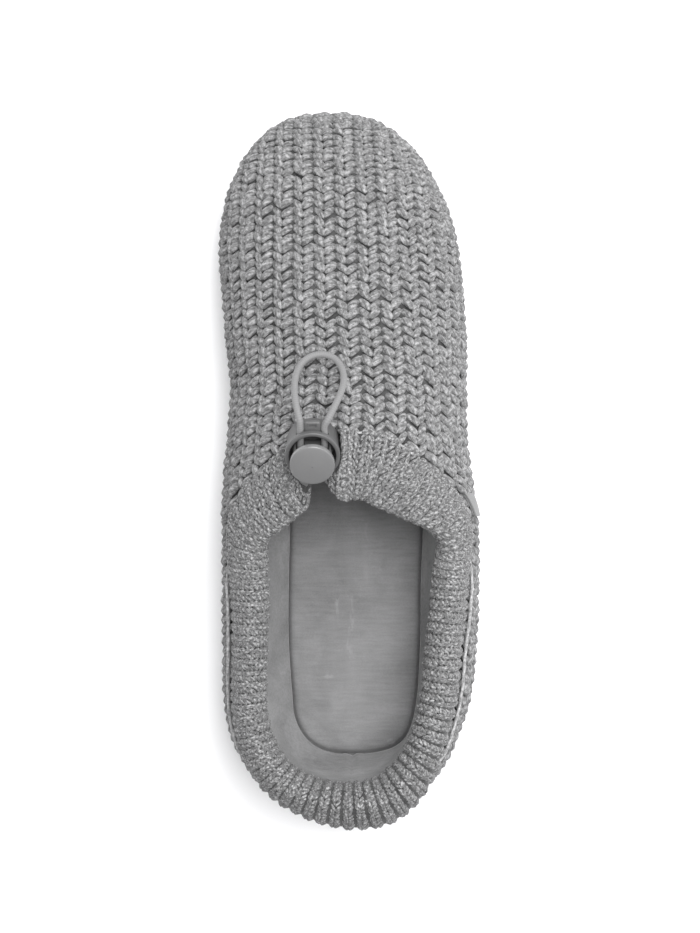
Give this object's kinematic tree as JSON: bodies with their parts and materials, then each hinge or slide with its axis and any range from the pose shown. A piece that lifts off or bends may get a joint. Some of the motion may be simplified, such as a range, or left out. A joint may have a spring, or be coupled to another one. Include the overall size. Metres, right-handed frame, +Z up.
{
  "type": "house slipper",
  "caption": "Right knitted house slipper with a rolled rib cuff, a cord lock with its looped drawcord, a soft footbed and a grooved rubber sole.",
  "frame": {"origin": "on the floor, in the middle of the slipper's bounding box", "axes": "+Y towards the toe, +X towards the outer (little toe) side, +Z up"},
  "size_m": [0.1025, 0.2804, 0.1029],
  "materials": {
    "sole": "matt foamed rubber, dark grey",
    "footbed": "short brushed pile, mid grey",
    "knit": "chunky marled rib knit, mid grey",
    "cuff_knit": "fine marled rib knit, mid grey",
    "lock": "satin moulded plastic, mid grey",
    "cord": "round braided elastic, light grey",
    "tab": "smooth woven tape, light grey"
  },
  "bodies": {
    "slipper": {"outsole": "sole", "insole": "footbed", "upper": "knit", "cuff": "cuff_knit", "lock_cup": "lock", "drawcord": "cord", "side_tab": "tab"},
    "plunger": {"lock_button": "lock"}
  },
  "joints": [
    {"name": "button_press", "type": "slide", "parent": "slipper", "child": "plunger", "axis": [0, 0.5592, -0.829], "range_m": [0, 0.0033], "stiffness_N_per_m": 800, "springref_m": -0.005}
  ]
}
